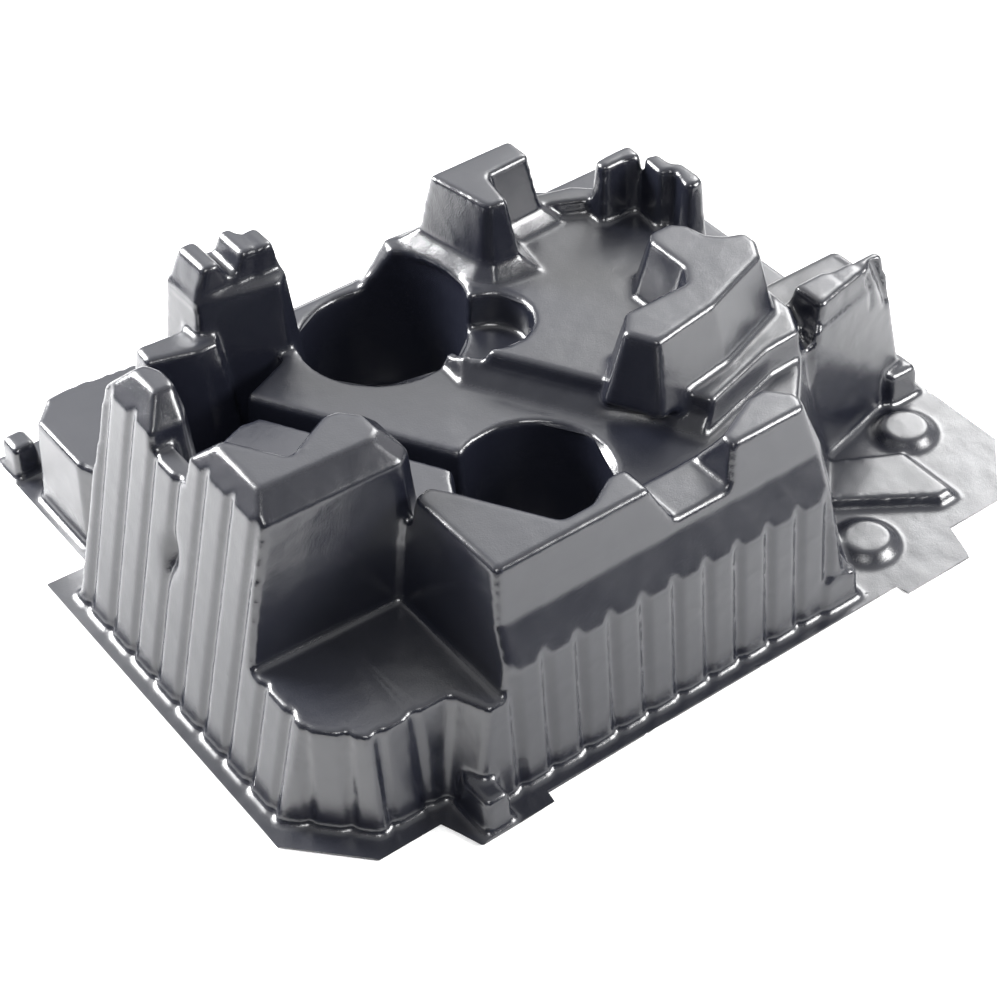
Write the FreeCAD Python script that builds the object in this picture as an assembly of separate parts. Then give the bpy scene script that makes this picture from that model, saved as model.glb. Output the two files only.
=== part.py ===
import FreeCAD, Part
import math
import os

# Vacuum-formed tray insert, millimetres. Z is up and the tray stands on its open rim.
# X runs along the long front side and Y from the front to the back.
# The mould form is written once, as outlines with their heights over the flange. The
# outside of the sheet is that form, and its inside is the same form drawn back by the
# sheet's gauge, so every wall, flute and pocket is one thin sheet, hollow below.

# Driving dimensions. The outlines below are drawn for PLAN_LENGTH by PLAN_DEPTH and are
# stretched with LENGTH and DEPTH.
GAUGE = 1.0                 # thickness of the formed sheet
LENGTH = 378.0              # flange, along X
DEPTH = 312.0               # flange, along Y, over the tabs
PLAN_LENGTH = 378.0
PLAN_DEPTH = 312.0
FLANGE = 7.0                # flange outside the foot of the side walls
TAB_REACH = 6.0             # how far a tab stands out of the front flange
TAB_WIDTH = 35.0
TAB_CENTRE = 110.0          # distance of a tab from the middle of the front
CORNER_INSET = 12.0         # how far the flange draws in between tab and corner
CORNER_CUT = 27.0           # chamfer of a corner of the flange

SIDE_DRAFT = 13.2           # left and right walls lean in, degrees
FRONT_DRAFT = 3.34          # fluted front wall
LEDGE_DRAFT = 5.0           # fluted corner below the low ledge
PANEL_DRAFT = 13.45         # panel over the band
END_DRAFT = 9.5             # left end of the front body
POCKET_DRAFT = 4.0          # round pockets

# Heights over the flange
LEDGE = 50.0                # low ledge at the front left corner
CORNER_BLOCK = 45.0         # low block at the far left corner
BACK_LEDGE = 20.0           # ledge along the back
REAR_BLOCK = 64.0           # block behind the right wall
BAND_FOOT = 60.0            # top of the front flutes
SEAT = 66.0                 # level that the tool lies on
BAND_TOP = 77.0             # top of the sloped band over the flutes
SHELF = 80.0                # shelf between the back towers
DIP = 82.0                  # lowest part of the front ridge
GUARD = 84.0                # right wall
SILL = 85.0                 # ledge between the two left towers and the comb
RIDGE = 100.0               # front ridge
NOTCH = 98.0                # saddle between the two left towers
FAN = 108.0                 # hook and fan at the right
TOWER = 120.0               # highest tower
CHAMFER = 9.0               # height of the bevel round that tower's top
POCKET_FLOOR = 6.0          # floor of the round pockets
SMALL_FLOOR = 63.0          # floor of the small round pocket
CELL_FLOOR = 12.0           # floor of the deep cell between the left towers
TRENCH_FLOOR = 34.0

# Front face, at the flange and where it changes slope
FRONT_FOOT = -143.5
BAND_SETBACK = 10.0         # how far the sloped band leans back

# Flutes of the walls
FLUTE_PITCH = 15.7
SIDE_PITCH = 17.8
FLUTE_DEPTH = 2.0
FLUTE_FLOOR = 2.4           # width at the bottom of a flute
FLUTE_STEEP = 0.7           # side of a flute, run along the wall for the flute's depth
FLUTE_GENTLE = 2.6

# Round pockets: centre and radius at the mouth
POCKET_1 = (-24.0, 55.0, 36.8)
POCKET_2 = (-28.5, -60.0, 32.6)
POCKET_3 = (6.5, 16.7, 18.3)

# Round bosses on the flat front right corner: centres, radii and height
BOSSES = [(98.6, -123.5), (160.5, -81.0)]
BOSS_FOOT = 15.5
BOSS_TOP = 9.8
BOSS_HEIGHT = 4.5
PLATEAU = 5.0               # raised triangle between the bosses
FOOT_BLOCK = 16.0           # small blocks at the foot of the walls

STRETCH_X = LENGTH / PLAN_LENGTH
STRETCH_Y = DEPTH / PLAN_DEPTH
LEFT = -PLAN_LENGTH / 2
RIGHT = PLAN_LENGTH / 2
FRONT = -PLAN_DEPTH / 2
BACK = PLAN_DEPTH / 2
BELOW = 1.0                 # how far the hollow is cut on under the flange
FLARE = 7.0                 # height of the flare at the foot of an upright wall
REACH = 6.0                 # how far a raised form reaches down into its carrier
CLEAR = 60.0                # how far a cut reaches up past its mouth


def tangent(degrees):
    return math.tan(math.radians(degrees))


def as_list(value, count):
    return list(value) if isinstance(value, (list, tuple)) else [value] * count


def left_wall(height):
    """X of the left wall's outer face."""
    return LEFT + FLANGE + height * tangent(SIDE_DRAFT)


def right_wall(height):
    return -left_wall(height)


def front_wall(height):
    """Y of the fluted front wall's outer face."""
    return FRONT_FOOT + height * tangent(FRONT_DRAFT)


def panel(height):
    """Y of the panel over the band."""
    return front_wall(BAND_FOOT) + BAND_SETBACK + (height - BAND_TOP) * tangent(PANEL_DRAFT)


def front_end(height):
    """X of the front body's left end."""
    return -94.0 - (RIDGE - height) * tangent(END_DRAFT)


def offset_outline(points, distances):
    """Moves each edge of an anticlockwise outline outwards by its own distance."""
    count = len(points)
    distances = as_list(distances, count)
    lines = []
    for index, (x, y) in enumerate(points):
        nx, ny = points[(index + 1) % count]
        size = math.hypot(nx - x, ny - y)
        ux, uy = (nx - x) / size, (ny - y) / size
        shift = distances[index]
        lines.append((x + uy * shift, y - ux * shift, ux, uy))
    moved = []
    for index in range(count):
        ax, ay, au, av = lines[index - 1]
        bx, by, bu, bv = lines[index]
        cross = au * bv - av * bu
        along = ((bx - ax) * bv - (by - ay) * bu) / cross
        moved.append((ax + au * along, ay + av * along))
    return moved


def placed(x, y, height):
    """A point of the plan at its place in the tray."""
    return FreeCAD.Vector(x * STRETCH_X, y * STRETCH_Y, height)


def wire(points, height):
    corners = [placed(x, y, height) for x, y in points]
    return Part.makePolygon(corners + corners[:1])


def cone(x, y, low, high, foot, height):
    """A round form: radii at its foot and its top."""
    return Part.makeCone(low * STRETCH_X, high * STRETCH_X, height, placed(x, y, foot))


def stack(levels):
    """A solid through outlines of the same number of corners, from foot to top."""
    wires = [wire(points, height) for height, points in levels]
    return Part.makeLoft(wires, True, True)


def at_height(points, draft, drop, inset):
    """Outline of drafted walls, drop below the points and drawn back by inset."""
    shifts = [drop * tangent(angle) - inset for angle in as_list(draft, len(points))]
    return offset_outline(points, shifts)


def foot_of(inset):
    return -GAUGE - BELOW if inset else 0.0


def lowest(foot, inset):
    """Foot of a form: on the flange, or inside the form that carries it."""
    return foot + inset if foot > 0 else foot_of(inset)


def raised(inset, points, top, foot, draft):
    """A form that stands up: points are the outline of its outer face at the top."""
    foot = lowest(foot, inset)
    low = at_height(points, draft, top - foot, inset)
    high = at_height(points, draft, inset, inset)
    return stack([(foot, low), (top - inset, high)])


def tower(inset, points, shoulder, foot, draft, cap, top):
    """A drafted tower with a bevelled top; cap has as many corners as points."""
    foot = lowest(foot, inset)
    low = at_height(points, draft, shoulder - foot, inset)
    middle = offset_outline(points, -inset)
    high = offset_outline(cap, -inset)
    return stack([(foot, low), (shoulder, middle), (top - inset, high)])


def sunk(inset, points, mouth, floor, draft, clear=CLEAR):
    """A pocket: points are its outline at the height of its mouth."""
    low = at_height(points, [-angle for angle in as_list(draft, len(points))],
                    mouth - floor + inset, -inset)
    high = at_height(points, draft, clear, -inset)
    return stack([(floor - inset, low), (mouth + clear, high)])


def sunk_round(inset, pocket, mouth, floor):
    x, y, radius = pocket
    height = mouth + CLEAR - floor + inset
    at_floor = radius + inset - (mouth - floor + inset) * tangent(POCKET_DRAFT)
    at_top = at_floor + height * tangent(POCKET_DRAFT)
    return cone(x, y, at_floor, at_top, floor - inset, height)


def flutes(inset, start, end, draft, centres, top):
    """Grooves up a wall whose foot runs from start to end, outside on the right."""
    size = math.hypot(end[0] - start[0], end[1] - start[1])
    ux, uy = (end[0] - start[0]) / size, (end[1] - start[1]) / size
    deep = FLUTE_DEPTH + inset
    proud = 1.5
    half = FLUTE_FLOOR / 2 + 0.5 * inset
    gentle = half + FLUTE_GENTLE * (deep + proud) / FLUTE_DEPTH
    steep = half + FLUTE_STEEP * (deep + proud) / FLUTE_DEPTH
    section = [(-gentle, proud), (steep, proud), (half, -deep), (-half, -deep)]
    low = foot_of(GAUGE) - 1.0
    grooves = []
    for centre in centres:
        levels = []
        for height in (low, top):
            out_x, out_y = uy, -ux
            lean = height * tangent(draft)
            outline = [(start[0] + ux * (centre + along) + out_x * (out - lean),
                        start[1] + uy * (centre + along) + out_y * (out - lean))
                       for along, out in section]
            levels.append((height, outline))
        grooves.append(stack(levels))
    return grooves


def flange():
    front = FRONT + TAB_REACH
    tab_in = TAB_CENTRE - TAB_WIDTH / 2
    tab_out = TAB_CENTRE + TAB_WIDTH / 2
    corner = front + CORNER_INSET
    shoulder = 6.0
    right = [(tab_in - 1, front), (tab_in, FRONT), (tab_out, FRONT),
             (tab_out + shoulder, corner), (RIGHT - CORNER_CUT, corner),
             (RIGHT, corner + CORNER_CUT + 2)]
    left = [(-x, y) for x, y in reversed(right)]
    step_y = 71.5
    step_x = LEFT + 20.0
    points = left + right + [(RIGHT, BACK - CORNER_CUT), (RIGHT - CORNER_CUT, BACK),
                             (step_x, BACK), (step_x, step_y), (LEFT, step_y)]
    return stack([(-GAUGE, points), (0.0, points)])


def walls(inset):
    """Forms that rise from the flange: ledge, seat, back and corner blocks."""
    foot = foot_of(inset)
    x = left_wall(LEDGE)
    y = front_wall(LEDGE)
    ledge = [(x, -50), (x, -106), (-153, -124.5), (-117, -124.5), (-110, y), (-80, y), (-80, -50)]
    forms = [raised(inset, ledge, LEDGE, foot,
                    [SIDE_DRAFT, LEDGE_DRAFT, LEDGE_DRAFT, 9.9, FRONT_DRAFT, 0, 0])]
    left = left_wall(SEAT)
    seat = [(left, 55), (left, -60), (-96, -60), (-96, -112), (65.5, -129), (86, -90), (104, -71),
            (118, -66), (118, 42), (108, 58), (66, 89.5), (-54, 90), (-56, 102), (-98, 103),
            (-128, 90), (-150, 58)]
    forms.append(raised(inset, seat, SEAT, foot,
                        [SIDE_DRAFT, 5, 0, 0, 12.3, 12.5, 3, 8, 8, 8, 8, 5, 5, 8, 8, 3]))
    corner = [(-161.5, 117), (-161.5, 82), (-150, 55), (-100, 50), (-100, 124), (-141, 130),
              (-150, 129)]
    forms.append(raised(inset, corner, CORNER_BLOCK, foot, [3, 3, 3, 5, 5, 5, 5]))
    x = right_wall(BACK_LEDGE)
    back = [(-130, 144), (-130, 60), (60, -40), (x, -40), (x, 131), (163, 144)]
    forms.append(raised(inset, back, BACK_LEDGE, foot, [0, 0, 0, SIDE_DRAFT, 10, 8]))
    x = right_wall(REAR_BLOCK)
    rear = [(112, -22), (112, -50), (x, -50), (x, -22)]
    forms.append(raised(inset, rear, REAR_BLOCK, foot, [5, 3, SIDE_DRAFT, 8]))
    return forms


def front_body(inset):
    """Fluted wall, sloped band and panel of the front, up to the ridge."""
    rows = [(foot_of(inset), front_wall(foot_of(inset)), 69.5, 77.0, -86.0),
            (BAND_FOOT, front_wall(BAND_FOOT), 59.5, 67.5, -90.0),
            (BAND_TOP, panel(BAND_TOP), 60.0, 65.5, -102.0),
            (RIDGE - inset, panel(RIDGE - inset), 55.5, 58.0, -118.0)]
    levels = []
    for height, face, end, corner, back in rows:
        end_face = face + 11.0 if height < BAND_TOP else face + 5.0
        left = front_end(height)
        points = [(left, back), (left, face), (end, face), (corner, end_face), (corner, back)]
        levels.append((height, offset_outline(points, -inset)))
    forms = [stack(levels)]
    left = front_end(RIDGE)
    platform = [(left, -73), (left, -121), (-49, -121), (-56, -119), (-79, -81), (-86, -71)]
    forms.append(raised(inset, platform, RIDGE, BACK_LEDGE, [END_DRAFT, 0, 0, 5, 5, 5]))
    hump = [(-50, -121.5), (-12, -121.5), (-12, -109), (-29, -109)]
    forms.append(raised(inset, hump, RIDGE, SEAT - REACH, [0, 0, 10, 10]))
    hump = [(12, -122), (56, -122), (58, -115), (50, -106), (41, -107)]
    forms.append(raised(inset, hump, RIDGE, SEAT - REACH, [0, 8, 10, 12, 12]))
    return forms


def dip(inset):
    """The low part of the front ridge between its two humps."""
    outline = [(-22, -90), (-22, -160), (19.5, -160), (19.5, -90)]
    return sunk(inset, outline, RIDGE, DIP, [28, 0, 14, 0])


def shelf(inset):
    """Shelf between the back towers; its front wall runs along the tool's axis and
    flares out at its foot."""
    outline = [(4, 92), (-6, 52), (-9.5, 4.5), (18, -43.2), (37, -65), (46, -82), (85, -71),
               (103, -70), (111, -56), (112, -33), (115, 40), (106, 56), (66, 88)]
    upright = [35, 35, 12, 12, 12, 5, 5, 5, 5, 5, 5, 8, 5]
    flared = [35, 35, 50, 50, 50, 5, 5, 5, 5, 5, 5, 8, 5]
    knee = SEAT + FLARE
    low = at_height(outline, upright, SHELF - knee, 0)
    return [raised(inset, outline, SHELF, SEAT - REACH, upright),
            raised(inset, low, knee, SEAT - 2, flared)]


def pockets(inset):
    cell = [(-138, 6), (-124, 6), (-118, 35), (-105, 40), (-97, 38), (-95, 53), (-58, 69),
            (-58, 80), (-128, 80), (-138, 60)]
    trench = [(-100, 45.6), (-46, -47.9), (-38, -43.2), (-98, 60.8)]
    strip = [(-56, 97), (-56, 78), (-14, 78), (-12, 97)]
    return [sunk(inset, cell, SEAT, CELL_FLOOR, 4), sunk(inset, trench, SEAT, TRENCH_FLOOR, 4),
            sunk(inset, strip, 60, 56, [5, 5, 20, 5]),
            sunk_round(inset, POCKET_1, SEAT, POCKET_FLOOR),
            sunk_round(inset, POCKET_2, SEAT, POCKET_FLOOR),
            sunk_round(inset, POCKET_3, SHELF, SMALL_FLOOR)]


def left_towers(inset):
    foot = foot_of(inset)
    x = left_wall(NOTCH)
    notch = [(x, 30), (x, -30), (-149, -30), (-149, 30)]
    forms = [raised(inset, notch, NOTCH, foot, [SIDE_DRAFT, 0, 3, 0])]
    shoulder = TOWER - CHAMFER
    x = left_wall(shoulder)
    points = [(x, -12), (x, -63), (-93, -65), (-87, -60), (-87, -39), (-98, -28), (-107, -27),
              (-128, -38), (-140, -12)]
    cap = [(-148, -22), (-148, -52), (-100, -55), (-95, -51), (-95, -41), (-101, -34),
           (-106, -33), (-129, -45), (-144, -22)]
    forms.append(tower(inset, points, shoulder, foot, [SIDE_DRAFT, 6, 5, 5, 5, 5, 5, 5, 3],
                       cap, TOWER))
    shoulder = 105.0
    x = left_wall(shoulder)
    points = [(x, 52), (x, 14), (-142, 14), (-137, 22), (-137, 40), (-143, 52)]
    cap = [(-148, 41), (-148, 24), (-140, 24), (-138.5, 27), (-138.5, 34), (-142, 41)]
    forms.append(tower(inset, points, shoulder, foot, [SIDE_DRAFT, 8, 4, 4, 4, 3], cap, 116.0))
    sill = [(-124, 89), (-125, 77), (-104, 70), (-94, 70), (-94, 88), (-103, 87)]
    forms.append(raised(inset, sill, SILL, foot, 6))
    return forms


def comb(inset):
    """Back left tower with its three fingers."""
    foot = foot_of(inset)
    body = [(-99, 102), (-98, 78), (-62, 70), (-56, 75), (-56, 95), (-70, 104)]
    forms = [raised(inset, body, 101.0, foot, 5)]
    fingers = [(-91.5, -84.5, 79.5, 101, 25, 26), (-73, -67.5, 79, 99, 26, 15),
               (-64, -58.5, 78, 93, 15, 8)]
    for x0, x1, y0, y1, left, right in fingers:
        finger = [(x0, y1), (x0, y0), (x1, y0), (x1, y1)]
        forms.append(raised(inset, finger, 115.0, 98.5, [left, 5, right, 5]))
    return forms


def back_towers(inset):
    foot = SHELF - REACH
    elbow = [(19, 77), (25, 45), (27, 42), (35, 41), (39, 61), (62, 62), (62, 77)]
    low = at_height(elbow, 8, 115.0 - SHELF - FLARE, 0)
    forms = [raised(inset, elbow, 115.0, foot, 8),
             raised(inset, low, SHELF + FLARE, SHELF - 2, 45)]
    hook = [(23, -53), (30, -66), (63, -61), (99, -48), (105, -38), (105, -31), (97, -28),
            (91, -22), (89, -12), (84, -7), (74, -7), (70, -12), (70, -34), (64, -43), (32, -43)]
    forms.append(raised(inset, hook, FAN, foot,
                        [14, 14, 14, 12, 7, 7, 9, 12, 14, 14, 14, 14, 14, 14, 14]))
    rim = [(60, 72), (61, 64), (84, 52), (98, 46), (101, 50), (86, 64)]
    forms.append(raised(inset, rim, 87.0, foot, [10, 12, 12, 10, 8, 8]))
    ribs = [[(87.5, 49), (87, 41.5), (99, 41.5), (106.5, 38.5), (107.5, 50)],
            [(105.7, 37), (104.2, 23), (110.5, 23.5), (113, 27.5), (113, 37)],
            [(112, 25), (107.3, 12), (108.1, 7.7), (114.9, 7.9), (116.5, 12.3), (116.5, 25.5)]]
    for rib in ribs:
        forms.append(raised(inset, rib, FAN, BACK_LEDGE - REACH, 4))
    return forms


def guard(inset):
    """Wall at the right with its fingers."""
    foot = foot_of(inset)
    top = 72.0
    x = right_wall(top)
    wall = [(113, -46), (113, -70.5), (x, -58), (x, -46)]
    forms = [raised(inset, wall, top, foot, [5, 2, SIDE_DRAFT, 5])]
    fingers = [[(118, -49), (118, -67), (134, -63), (134, -49)],
               [(137, -51), (137, -62.5), (146, -60.5), (146, -51)],
               [(149.5, -52), (149.5, -60), (161.5, -57.5), (161.5, -52)]]
    for finger in fingers:
        forms.append(raised(inset, finger, GUARD, 60.0, [14, 3, 13, 6]))
    return forms


def small_forms(inset):
    """Bosses and raised triangle of the flat corner, and the blocks at the walls' feet."""
    foot = foot_of(inset)
    forms = []
    for x, y in BOSSES:
        run = BOSS_FOOT - BOSS_TOP
        low = BOSS_FOOT - inset + (run / BOSS_HEIGHT) * (0.0 - foot)
        height = BOSS_HEIGHT - inset - foot
        high = low - height * run / BOSS_HEIGHT
        forms.append(cone(x, y, low, high, foot, height))
    plateau = [(118, -78), (100, -96), (140, -124), (147, -124), (147, -94)]
    forms.append(raised(inset, plateau, PLATEAU, foot, 30))
    blocks = [[(-122, -136), (-122, -153), (-111, -153), (-111, -136)],
              [(58, -133), (58, -144), (74, -144), (74, -133)],
              [(168, -50), (168, -63.5), (183.5, -63.5), (183.5, -50)],
              [(-166, 151), (-166, 138), (-155, 138), (-155, 151)]]
    for outline in blocks:
        forms.append(raised(inset, outline, FOOT_BLOCK, foot, 4))
    return forms


def joined(forms):
    return forms[0].multiFuse(forms[1:])


def grooves(inset):
    cut = []
    x = LEFT + FLANGE
    cut += flutes(inset, (x, 60), (x, -106), SIDE_DRAFT,
                  [13.7 + SIDE_PITCH * i for i in range(9)], 130)
    cut += flutes(inset, (-116, FRONT_FOOT), (69, FRONT_FOOT), FRONT_DRAFT,
                  [18 + FLUTE_PITCH * i for i in range(11)], BAND_FOOT + 8)
    cut += flutes(inset, (-173.5, -109), (-156.2, -127.5), LEDGE_DRAFT, [0.3, 16.8], LEDGE + 8)
    cut += flutes(inset, (-156, -128.9), (-118, -128.9), LEDGE_DRAFT, [7.6, 23.5], LEDGE + 8)
    return cut


def mould(inset):
    low = joined(walls(inset) + front_body(inset) + shelf(inset))
    low = low.cut(joined([dip(inset)] + pockets(inset)))
    body = joined([low] + left_towers(inset) + comb(inset) + back_towers(inset) + guard(inset))
    fluted = body.cut(Part.makeCompound(grooves(inset)))
    return joined([fluted] + small_forms(inset))


def tray():
    outside = mould(0.0).fuse(flange())
    print("outside", outside.isValid(), len(outside.Solids), len(outside.Faces))
    inside = mould(GAUGE)
    print("inside", inside.isValid(), len(inside.Solids), len(inside.Faces))
    sheet = outside.cut(inside)
    sheet.translate(FreeCAD.Vector(0, 0, GAUGE))
    return sheet


os.makedirs("parts", exist_ok=True)
shape = tray()
print("solids", len(shape.Solids), "valid", shape.isValid(), "volume", round(shape.Volume),
      "faces", len(shape.Faces))
shape.exportStep("parts/tray.step")
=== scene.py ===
"""Looks of the thermoformed tray: one thin black sheet with bent edges, floor, light and camera."""

import bpy
import numpy as np
import openvdb as vdb
from mathutils import Matrix, Vector
from mathutils.kdtree import KDTree


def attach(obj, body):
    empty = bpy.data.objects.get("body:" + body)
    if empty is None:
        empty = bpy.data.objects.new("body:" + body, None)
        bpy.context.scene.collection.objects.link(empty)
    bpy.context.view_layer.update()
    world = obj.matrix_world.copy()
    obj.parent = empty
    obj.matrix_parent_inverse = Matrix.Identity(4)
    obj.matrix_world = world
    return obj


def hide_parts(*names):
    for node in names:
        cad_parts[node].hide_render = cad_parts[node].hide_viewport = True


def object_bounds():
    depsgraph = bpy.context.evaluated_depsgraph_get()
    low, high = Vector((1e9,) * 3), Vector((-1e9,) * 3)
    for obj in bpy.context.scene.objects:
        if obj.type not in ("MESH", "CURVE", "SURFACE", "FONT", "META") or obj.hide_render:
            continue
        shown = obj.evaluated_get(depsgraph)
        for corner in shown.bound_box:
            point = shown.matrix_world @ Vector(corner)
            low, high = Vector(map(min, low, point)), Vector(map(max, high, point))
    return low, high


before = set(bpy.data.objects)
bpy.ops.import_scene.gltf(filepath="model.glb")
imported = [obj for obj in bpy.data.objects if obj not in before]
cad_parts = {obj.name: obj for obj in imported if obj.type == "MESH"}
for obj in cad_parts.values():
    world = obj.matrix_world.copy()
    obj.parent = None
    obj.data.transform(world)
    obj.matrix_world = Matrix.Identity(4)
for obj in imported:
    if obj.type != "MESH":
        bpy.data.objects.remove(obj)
cad_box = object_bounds()

# Sheet, in millimetres
MM = 0.001
GAUGE = 1.0                  # thickness of the sheet
VOXEL = 0.8                  # cell of the grid that the bends are worked out on
INNER_BEND = 2.2             # radius where two faces meet in a corner
OUTER_BEND = 2.2             # radius over an edge
RIM = 5.0                    # flat edge added outside the flange while bending
BLOCK = 6.0                  # depth of what closes the form below while bending
MARGIN = 2.5                 # cells kept beyond the distance that is needed
ON_EDGE = 0.01               # how near to the outline a corner counts as on the cut edge
TRIANGLES = 185000           # kept in the finished sheet
TOP_WEIGHT = 0.5             # thinning weight of the top; the underside's is 1
SLOPE_STEP = 0.75            # cells to each side that the shading's slope is taken over
LEAST_MATCH = 0.6            # smooth shading is used where it matches the face this well

# Rim between the large round pocket and the back wall: the pocket's centre, its radius at
# the rim's foot and top, and the rim's heights, ends along X and outer face
POCKET = (-24.0, 55.0)
POCKET_RADII = (34.0, 36.7)
RIM_HEIGHTS = (20.0, 61.0)
RIM_ENDS = (-54.0, 4.0)
RIM_BACK = (103.0, 98.0)
RIM_STEPS = 24

# Dent in the left wall: middle, reach along each axis and depth
DENT_AT = (-167.0, -7.0, 64.0)
DENT_REACH = (12.0, 4.6, 8.0)
DENT_DEPTH = 4.0
# Creases in the crumpled end of the right wall: both ends, reach and depth of each
CREASES = [((153.0, -60.0, 90.0), (166.0, -60.0, 60.0), 3.0, 3.4),
           ((151.0, -60.0, 80.0), (152.5, -60.0, 64.0), 1.6, 1.2),
           ((152.0, -60.0, 88.0), (146.0, -56.0, 86.0), 2.2, 1.6)]

# Outline of the flange, as in the part's source
LENGTH = 378.0
DEPTH = 312.0
TAB_REACH = 6.0
TAB_WIDTH = 35.0
TAB_CENTRE = 110.0
CORNER_INSET = 12.0
CORNER_CUT = 27.0
SIDE_STEP = (20.0, 71.5)     # how far the left side steps in, and where

# Camera, from the photograph's parallel walls and round pockets
CAMERA_AT = (-466.1, -663.2, 736.0)     # millimetres
CAMERA_RIGHT = (0.804, -0.594, -0.0297)
CAMERA_BACK = (-0.4217, -0.6048, 0.6754)
LENS = 90.0
SENSOR = 36.0

# Light: name, place and aim in metres, size and power in watts
SOFT_BOXES = [("over_box", (0.85, 1.3, 1.5), (0, 0, 0.05), (1.0, 1.0), 4.6),
              ("right_box", (1.75, 0.9, 1.3), (0.12, -0.1, 0), (0.8, 0.9), 38.0),
              ("key_box", (-0.62, -0.85, 1.25), (0, 0, 0.05), (0.4, 0.4), 8.0),
              ("left_floor_box", (-0.45, 0.75, 0.5), (-0.28, 0.12, 0), (0.4, 0.4), 30.0),
              ("front_floor_box", (0.75, -0.8, 0.6), (0.42, -0.45, 0), (0.5, 0.5), 19.0)]
BACKDROP = (0.56, 0.80, 0.21)   # direction of the white backdrop, seen from the tray
ROOM = 0.1                      # how light the room opposite it is in a reflection
BACKDROP_REACH = 0.55           # how far round the backdrop goes, and how soft its end is
BACKDROP_FADE = 0.9
HORIZON_FADE = 4.0              # how fast the backdrop brightens above the horizon
WORLD_LIGHT = 0.35
FLOOR_WHITE = 0.86
FLOOR_GLOW = 0.4                # plain white added to the floor where it is seen
FLOOR_HALF = 3.0                # half the floor's side, metres
FLOOR_BELOW = 0.0002            # how far it lies below the tray, metres

# Surface: colour at both ends of the grain, roughness of upright faces and what flat ones
# add to it, index of refraction, and how fine the patterns are
COLOUR_DARK = (0.006, 0.0068, 0.012, 1)
COLOUR_LIGHT = (0.014, 0.0155, 0.024, 1)
ROUGH_UPRIGHT = 0.23
ROUGH_FLAT_MORE = 0.10
REFRACTION = 1.75
GRAIN_SCALE = 1500.0
MOTTLE_SCALE = 38.0
RIPPLE_SCALE = 70.0


def flange_outline():
    """Corners of the flange, anticlockwise."""
    right, front, back = LENGTH / 2, -DEPTH / 2, DEPTH / 2
    line = front + TAB_REACH
    tab_in = TAB_CENTRE - TAB_WIDTH / 2
    tab_out = TAB_CENTRE + TAB_WIDTH / 2
    corner = line + CORNER_INSET
    half = [(tab_in - 1, line), (tab_in, front), (tab_out, front), (tab_out + 6, corner),
            (right - CORNER_CUT, corner), (right, corner + CORNER_CUT + 2)]
    left = [(-x, y) for x, y in reversed(half)]
    step_x, step_y = -right + SIDE_STEP[0], SIDE_STEP[1]
    return np.array(left + half + [(right, back - CORNER_CUT), (right - CORNER_CUT, back),
                                   (step_x, back), (step_x, step_y), (-right, step_y)])


def outline_distance(points, outline):
    """Signed distance to the outline, under zero inside, and the nearest point on it."""
    best = np.full(len(points), 1e9)
    nearest = np.zeros((len(points), 2))
    inside = np.zeros(len(points), bool)
    for start, end in zip(outline, np.roll(outline, -1, 0)):
        side = end - start
        along = np.clip(((points - start) @ side) / (side @ side), 0, 1)
        foot = start + along[:, None] * side
        away = np.hypot(*(points - foot).T)
        closer = away < best
        best = np.where(closer, away, best)
        nearest[closer] = foot[closer]
        crosses = (start[1] > points[:, 1]) != (end[1] > points[:, 1])
        if abs(side[1]) > 1e-9:
            at = start[0] + (points[:, 1] - start[1]) * side[0] / side[1]
            inside ^= crosses & (points[:, 0] < at)
    return np.where(inside, -best, best), nearest


def level_set(points, faces, reach):
    """Distance grid round a closed surface, kept up to reach from it."""
    cells = vdb.createLinearTransform(voxelSize=VOXEL)
    kind = {"triangles": faces} if faces.shape[1] == 3 else {"quads": faces}
    return vdb.FloatGrid.createLevelSetFromPolygons(points, transform=cells,
                                                    halfWidth=reach / VOXEL + MARGIN, **kind)


def moved(grid, distance, reach):
    """Distance grid round the surface that lies at a distance from the grid's own."""
    points, quads = grid.convertToQuads(distance)
    return level_set(points, quads, reach)


def widened(outline, reach):
    """The outline with each edge moved outwards by reach."""
    sides = np.roll(outline, -1, 0) - outline
    sides /= np.hypot(*sides.T)[:, None]
    out = np.stack([sides[:, 1], -sides[:, 0]], 1)
    before, after = np.roll(out, 1, 0), out
    middle = before + after
    return outline + middle * (reach / (1 + (before * after).sum(1)))[:, None]


def pocket_rim():
    """Curved rim behind the large round pocket, which is too thin there to bend."""
    across = np.linspace(*RIM_ENDS, RIM_STEPS)
    points = []
    for radius, height, back in zip(POCKET_RADII, RIM_HEIGHTS, RIM_BACK):
        reach = np.sqrt(np.maximum(radius ** 2 - (across - POCKET[0]) ** 2, 0))
        points += [(x, POCKET[1] + y, height) for x, y in zip(across, reach)]
        points += [(x, back, height) for x in across[::-1]]
    ring = 2 * RIM_STEPS
    faces = []
    for index in range(ring):
        after = (index + 1) % ring
        faces += [(index, ring + after, after), (index, ring + index, ring + after)]
    for index in range(RIM_STEPS - 1):
        a, b, c, d = index, index + 1, ring - 2 - index, ring - 1 - index
        faces += [(a, b, c), (a, c, d)]
        faces += [(ring + a, ring + c, ring + b), (ring + a, ring + d, ring + c)]
    return np.array(points), np.array(faces)


def values_of(items, name, kind, width):
    """One attribute of all of a mesh's items, a row for each."""
    values = np.empty(len(items) * width, kind)
    items.foreach_get(name, values)
    return values.reshape(-1, width)


def merged_triangles(mesh):
    """The mesh's points in millimetres, each of them once, and its triangles."""
    points = values_of(mesh.vertices, "co", np.float32, 3) / MM
    mesh.calc_loop_triangles()
    triangles = values_of(mesh.loop_triangles, "vertices", np.int32, 3)
    points, places = np.unique(points.round(3), axis=0, return_inverse=True)
    return points, places.reshape(-1)[triangles]


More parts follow.
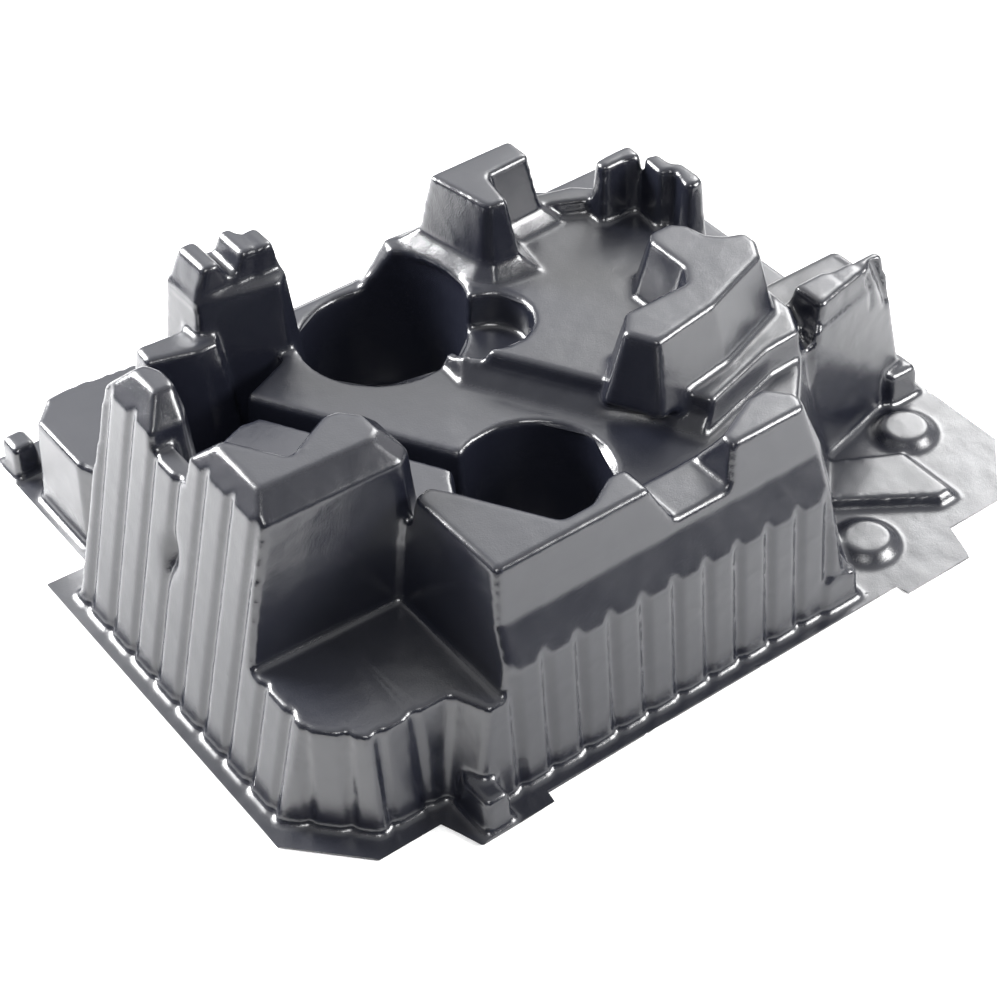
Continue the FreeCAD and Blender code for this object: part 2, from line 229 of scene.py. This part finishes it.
def connected(triangles, count):
    """A label for each point, the same for all that triangles connect."""
    label = np.arange(count)
    while True:
        least = label[triangles].min(1)
        spread = label.copy()
        np.minimum.at(spread, triangles.ravel(), np.repeat(least, 3))
        spread = spread[spread]
        if (spread == label).all():
            return label
        label = spread


def closing_below(outline):
    """Wider rim round the flange and a flat block below it: points and faces."""
    wide = widened(outline, RIM)
    total = len(outline)
    rings = [(outline, GAUGE), (wide, GAUGE), (wide, -BLOCK)]
    points = [(x, y, height) for ring, height in rings for x, y in ring] + [(0, 0, -BLOCK)]
    faces = []
    for low in (0, total):
        high = low + total
        for index in range(total):
            after = (index + 1) % total
            faces += [(low + index, high + index, high + after),
                      (low + index, high + after, low + after)]
    faces += [(2 * total + (i + 1) % total, 2 * total + i, 3 * total) for i in range(total)]
    return np.array(points), np.array(faces)


def mould_surface(node):
    """The sheet's outer face, closed to a solid round its edge and below."""
    points, triangles = merged_triangles(node.data)
    outline = flange_outline()
    a, b, c = (points[triangles[:, i]] for i in range(3))
    normals = np.cross(b - a, c - a)
    size = np.linalg.norm(normals, axis=1) + 1e-12
    on_edge = np.abs(outline_distance(points[:, :2], outline)[0]) < ON_EDGE
    cut_edge = on_edge[triangles].all(1) & (np.abs(normals[:, 2]) < 0.5 * size)
    triangles = triangles[~cut_edge]
    label = connected(triangles, len(points))
    faces = triangles[label[triangles[:, 0]] == label[points[:, 2].argmax()]]
    for more_points, more_faces in (closing_below(outline), pocket_rim()):
        faces = np.vstack([faces, more_faces + len(points)])
        points = np.vstack([points, more_points])
    return points.astype(np.float32), faces.astype(np.uint32)


def worn(points):
    """Pushes in the dent of the left wall and the creases of the right wall's end."""
    points = points.copy()
    away = (points - DENT_AT) / DENT_REACH
    points[:, 0] += DENT_DEPTH * np.exp(-(away ** 2).sum(1))
    for start, end, reach, depth in CREASES:
        start, side = np.array(start), np.subtract(end, start)
        along = ((points - start) @ side / (side @ side)).clip(0, 1)
        away = np.linalg.norm(points - start - along[:, None] * side, axis=1)
        points[:, 1] += depth * np.exp(-(away / reach) ** 2)
    return points.astype(np.float32)


def bent_form(node):
    """Rounds the form's corners and edges, as a sheet drawn over a mould is."""
    points, triangles = mould_surface(node)
    grid = level_set(points, triangles, INNER_BEND)
    grid = moved(grid, INNER_BEND, INNER_BEND + OUTER_BEND)
    grid = moved(grid, -INNER_BEND - OUTER_BEND, OUTER_BEND)
    points, quads = grid.convertToQuads(OUTER_BEND)
    return level_set(worn(points), quads, GAUGE)


def trimmed(grid, height, outline):
    """One face of the sheet, cut off along the flange's outline."""
    points, quads = grid.convertToQuads(height)
    points = points.astype(np.float64)
    quads = quads.astype(np.int64)
    away, nearest = outline_distance(points[:, :2], outline)
    kept = quads[(away[quads] < 0).all(1) & (points[quads][:, :, 2] > -GAUGE / 2).all(1)]
    used, renumbered = np.unique(kept, return_inverse=True)
    kept = renumbered.reshape(-1, 4)
    points, nearest = points[used], nearest[used]
    sides = np.vstack([kept[:, [i, (i + 1) % 4]] for i in range(4)])
    key = np.sort(sides, 1)
    key = key[:, 0] * len(points) + key[:, 1]
    _, first, count = np.unique(key, return_index=True, return_counts=True)
    rim = sides[first[count == 1]]
    edge = np.unique(rim)
    before = points[edge, :2].copy()
    points[edge, :2] = nearest[edge]
    return points, kept, rim, edge, before


def sheet_faces(grid):
    """Both faces of the sheet, joined round the flange: points, faces and how many are on top."""
    outline = flange_outline()
    top, top_faces, top_rim, top_edge, top_before = trimmed(grid, 0.0, outline)
    low, low_faces, _, low_edge, low_before = trimmed(grid, -GAUGE, outline)
    tree = KDTree(len(low_edge))
    for index, (x, y) in zip(low_edge, low_before):
        tree.insert((x, y, 0), int(index))
    tree.balance()
    partner = {int(index): tree.find((x, y, 0))[1] for index, (x, y) in zip(top_edge, top_before)}
    for upper, lower in partner.items():
        low[lower, :2] = top[upper, :2]
    for corner in outline:
        near = top_edge[np.argmin(np.hypot(*(top[top_edge, :2] - corner).T))]
        top[near, :2] = corner
        low[partner[int(near)], :2] = corner
    shift = len(top)
    band = np.array([(b, a, partner[int(a)] + shift, partner[int(b)] + shift)
                     for a, b in top_rim])
    low_faces = low_faces[:, ::-1] + shift
    return np.vstack([top, low]), np.vstack([top_faces, low_faces, band]), shift


def new_mesh(name, points, faces):
    """Mesh of faces that all have the same number of corners."""
    mesh = bpy.data.meshes.new(name)
    mesh.vertices.add(len(points))
    mesh.vertices.foreach_set("co", np.ascontiguousarray(points, np.float32).ravel())
    sides = faces.shape[1]
    mesh.loops.add(faces.size)
    mesh.loops.foreach_set("vertex_index", np.ascontiguousarray(faces, np.int32).ravel())
    mesh.polygons.add(len(faces))
    mesh.polygons.foreach_set("loop_start", np.arange(0, faces.size, sides, dtype=np.int32))
    mesh.update(calc_edges=True)
    mesh.validate()
    return mesh


def applied(item):
    """The object's mesh with its modifiers, in place of the mesh it had."""
    graph = bpy.context.evaluated_depsgraph_get()
    mesh = bpy.data.meshes.new_from_object(item.evaluated_get(graph))
    item.modifiers.clear()
    item.data = mesh
    return mesh


def thinned(item, upper_count):
    """Fewer triangles, taken more from the underside than the top, kept in the CAD's box."""
    group = item.vertex_groups.new(name="underside")
    total = len(item.data.vertices)
    group.add(list(range(upper_count)), TOP_WEIGHT, "REPLACE")
    group.add(list(range(upper_count, total)), 1.0, "REPLACE")
    decimate = item.modifiers.new("fewer", "DECIMATE")
    decimate.ratio = TRIANGLES / (2 * len(item.data.polygons))
    decimate.vertex_group = "underside"
    decimate.vertex_group_factor = 1.0
    mesh = applied(item)
    item.vertex_groups.clear()
    low, high = np.array([list(corner) for corner in cad_box])
    points = values_of(mesh.vertices, "co", np.float32, 3).clip(low, high)
    mesh.vertices.foreach_set("co", points.ravel())


def sampled(field, place):
    """The grid's values between its cells, at places in cells."""
    base = np.clip(np.floor(place).astype(int), 0, np.array(field.shape) - 2)
    part = place - base
    total = np.zeros(len(place))
    for dx in (0, 1):
        for dy in (0, 1):
            for dz in (0, 1):
                weight = (np.abs(1 - dx - part[:, 0]) * np.abs(1 - dy - part[:, 1])
                          * np.abs(1 - dz - part[:, 2]))
                total += weight * field[base[:, 0] + dx, base[:, 1] + dy, base[:, 2] + dz]
    return total


def slopes(grid, points):
    """Directions in which the distance grows at the points."""
    low, high = grid.evalActiveVoxelBoundingBox()
    shape = tuple(b - a + 1 for a, b in zip(low, high))
    field = np.full(shape, grid.background, np.float32)
    grid.copyToArray(field, ijk=tuple(low))
    at = points / VOXEL - np.array(low)
    slope = np.stack([sampled(field, at + step) - sampled(field, at - step)
                      for step in np.eye(3) * SLOPE_STEP], 1)
    return slope / (np.linalg.norm(slope, axis=1, keepdims=True) + 1e-9)


def shade(item, grid):
    """Smooth shading from the distance grid; the cut edge of the flange stays flat."""
    mesh = item.data
    slope = slopes(grid, values_of(mesh.vertices, "co", np.float32, 3) / MM)
    normals = values_of(mesh.polygons, "normal", np.float32, 3)
    totals = values_of(mesh.polygons, "loop_total", np.int32, 1).ravel()
    corners = values_of(mesh.loops, "vertex_index", np.int32, 1).ravel()
    smooth = slope[corners]
    face_normal = np.repeat(normals, totals, axis=0)
    agrees = (smooth * face_normal).sum(1)
    smooth = np.where((agrees < 0)[:, None], -smooth, smooth)
    loops = np.where((np.abs(agrees) < LEAST_MATCH)[:, None], face_normal, smooth)
    mesh.polygons.foreach_set("use_smooth", np.ones(len(mesh.polygons), bool))
    mesh.normals_split_custom_set(loops.tolist())
    mesh.update()


class Socket:
    """A shader socket that can be added, multiplied and so on, each step a Math node."""

    def __init__(self, maker, link):
        self.maker = maker
        self.link = link

    def math(self, operation, *others, first=None):
        values = [self if first is None else first, *others]
        return self.maker.node("ShaderNodeMath", {"operation": operation},
                               dict(enumerate(values)))

    def __add__(self, other):
        return self.math("ADD", other)

    __radd__ = __add__

    def __sub__(self, other):
        return self.math("SUBTRACT", other)

    def __rsub__(self, other):
        return self.math("SUBTRACT", self, first=other)

    def __mul__(self, other):
        return self.math("MULTIPLY", other)

    __rmul__ = __mul__

    def clamped(self):
        return self.maker.node("ShaderNodeClamp", {}, {0: self})


class Maker:
    """Builds the nodes of a material or a world."""

    def __init__(self, owner):
        self.owner = owner
        owner.use_nodes = True
        self.tree = owner.node_tree
        self.tree.nodes.clear()

    def node(self, kind, settings=None, values=None, output=0):
        """Adds a node with its settings and its sockets' values or links."""
        made = self.tree.nodes.new(kind)
        for key, value in (settings or {}).items():
            setattr(made, key, value)
        for key, value in (values or {}).items():
            if isinstance(value, Socket):
                self.tree.links.new(value.link, made.inputs[key])
            else:
                made.inputs[key].default_value = value
        return Socket(self, made.outputs[output])

    def output_of(self, socket, index):
        """Another output of the node that a socket belongs to."""
        return Socket(self, socket.link.node.outputs[index])

    def finish(self, surface, kind="ShaderNodeOutputMaterial"):
        """Links the surface to the output and hands back the material or world."""
        end = self.tree.nodes.new(kind)
        self.tree.links.new(surface.link, end.inputs[0])
        return self.owner


def black_styrene():
    """Near-black polystyrene: grained and satin where flat, stretched smooth on the walls."""
    make = Maker(bpy.data.materials.new("black_styrene"))
    place = make.node("ShaderNodeTexCoord", output=3)
    grain = make.node("ShaderNodeTexNoise", {}, {"Vector": place, "Scale": GRAIN_SCALE,
                                                 "Detail": 2.0, "Roughness": 0.6})
    mottle = make.node("ShaderNodeTexNoise", {}, {"Vector": place, "Scale": MOTTLE_SCALE,
                                                  "Detail": 3.0})
    ripple = make.node("ShaderNodeTexNoise", {}, {"Vector": place, "Scale": RIPPLE_SCALE,
                                                  "Detail": 1.5})
    up = make.node("ShaderNodeSeparateXYZ", {},
                   {0: make.node("ShaderNodeNewGeometry", output=1)}, output=2)
    flat = ((up - 0.75) * 5.0).clamped()
    tone = ((grain - 0.5) * 0.5 + (mottle - 0.5) * 0.3 + 0.5).clamped()
    colour = make.node("ShaderNodeMix", {"data_type": "RGBA"},
                       {0: tone, 6: COLOUR_DARK, 7: COLOUR_LIGHT}, output=2)
    uneven = (grain - 0.5) * 0.10 + (mottle - 0.5) * 0.08
    rough = flat * ROUGH_FLAT_MORE + uneven + ROUGH_UPRIGHT
    fine = make.node("ShaderNodeBump", {}, {"Strength": 0.45, "Distance": 0.00015,
                                            "Height": grain})
    wave = make.node("ShaderNodeBump", {}, {"Strength": 0.35, "Distance": 0.0012,
                                            "Height": ripple, "Normal": fine})
    plastic = make.node("ShaderNodeBsdfPrincipled", {},
                        {"Base Color": colour, "Roughness": rough, "IOR": REFRACTION,
                         "Normal": wave})
    return make.finish(plastic)


def pale_floor():
    """White where the camera or a reflection sees it, with the tray's shadow left on it."""
    make = Maker(bpy.data.materials.new("pale_floor"))
    paint = make.node("ShaderNodeBsdfDiffuse", {}, {"Color": (*[FLOOR_WHITE] * 3, 1)})
    path = make.node("ShaderNodeLightPath")
    seen = (path + make.output_of(path, 3) + make.output_of(path, 6)).clamped()
    glow = make.node("ShaderNodeEmission", {}, {"Color": (1, 1, 1, 1), "Strength": FLOOR_GLOW})
    dark = make.node("ShaderNodeEmission", {}, {"Strength": 0.0})
    shown = make.node("ShaderNodeMixShader", {}, {0: seen, 1: dark, 2: glow})
    return make.finish(make.node("ShaderNodeAddShader", {}, {0: paint, 1: shown}))


def formed_sheet():
    """The tray: one sheet with both its faces, bent, thinned, shaded and coloured."""
    grid = bent_form(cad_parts["tray"])
    points, faces, upper_count = sheet_faces(grid)
    sheet = bpy.data.objects.new("formed_sheet", new_mesh("formed_sheet", points * MM, faces))
    bpy.context.scene.collection.objects.link(sheet)
    thinned(sheet, upper_count)
    shade(sheet, grid)
    sheet.data.materials.clear()
    sheet.data.materials.append(black_styrene())
    return sheet


def floor():
    """Plain floor just under the tray."""
    corners = [(-1, -1), (1, -1), (1, 1), (-1, 1)]
    points = np.array([(x * FLOOR_HALF, y * FLOOR_HALF, -FLOOR_BELOW) for x, y in corners])
    item = bpy.data.objects.new("floor", new_mesh("floor", points, np.array([(0, 1, 2, 3)])))
    bpy.context.scene.collection.objects.link(item)
    item.data.materials.append(pale_floor())
    return item


def camera():
    """Camera that sees the tray as the photograph does."""
    lens = bpy.data.cameras.new("camera")
    lens.lens = LENS
    lens.sensor_width = SENSOR
    lens.clip_end = 20.0
    eye = bpy.data.objects.new("camera", lens)
    bpy.context.scene.collection.objects.link(eye)
    back = Vector(CAMERA_BACK).normalized()
    right = Vector(CAMERA_RIGHT)
    right = (right - right.dot(back) * back).normalized()
    turn = Matrix((right, back.cross(right), back)).transposed()
    eye.matrix_world = Matrix.Translation(Vector(CAMERA_AT) * MM) @ turn.to_4x4()
    bpy.context.scene.camera = eye


def soft_box(name, at, aim, size, power):
    """Rectangular lamp that faces a point."""
    lamp = bpy.data.lights.new(name, "AREA")
    lamp.shape = "RECTANGLE"
    lamp.size, lamp.size_y = size
    lamp.energy = power
    item = bpy.data.objects.new(name, lamp)
    bpy.context.scene.collection.objects.link(item)
    item.location = at
    item.rotation_euler = (Vector(aim) - Vector(at)).to_track_quat("-Z", "Y").to_euler()


def studio():
    """Plain world, white where it is seen, with a darker room opposite the backdrop."""
    world = bpy.data.worlds.new("studio")
    make = Maker(world)
    bpy.context.scene.world = world
    path = make.node("ShaderNodeLightPath")
    seen = (path + make.output_of(path, 6)).clamped()
    mirrored = make.output_of(path, 3)
    way = make.node("ShaderNodeTexCoord", output=0)
    facing = make.node("ShaderNodeVectorMath", {"operation": "DOT_PRODUCT"},
                       {0: way, 1: BACKDROP}, output=1)
    height = make.node("ShaderNodeSeparateXYZ", {}, {0: way}, output=2)
    open_side = ((facing + BACKDROP_REACH) * BACKDROP_FADE).clamped()
    open_side = open_side * (height * HORIZON_FADE).clamped()
    reflected = open_side * (1 - ROOM) + ROOM
    plain = (1 - seen - mirrored).clamped() * WORLD_LIGHT
    strength = seen + mirrored * reflected + plain
    light = make.node("ShaderNodeBackground", {}, {0: (1, 1, 1, 1), 1: strength})
    make.finish(light, "ShaderNodeOutputWorld")
    for box in SOFT_BOXES:
        soft_box(*box)


sheet = formed_sheet()
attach(sheet, "root")
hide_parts("tray")
ground = floor()
studio()
camera()
bpy.context.scene.view_settings.view_transform = "Standard"
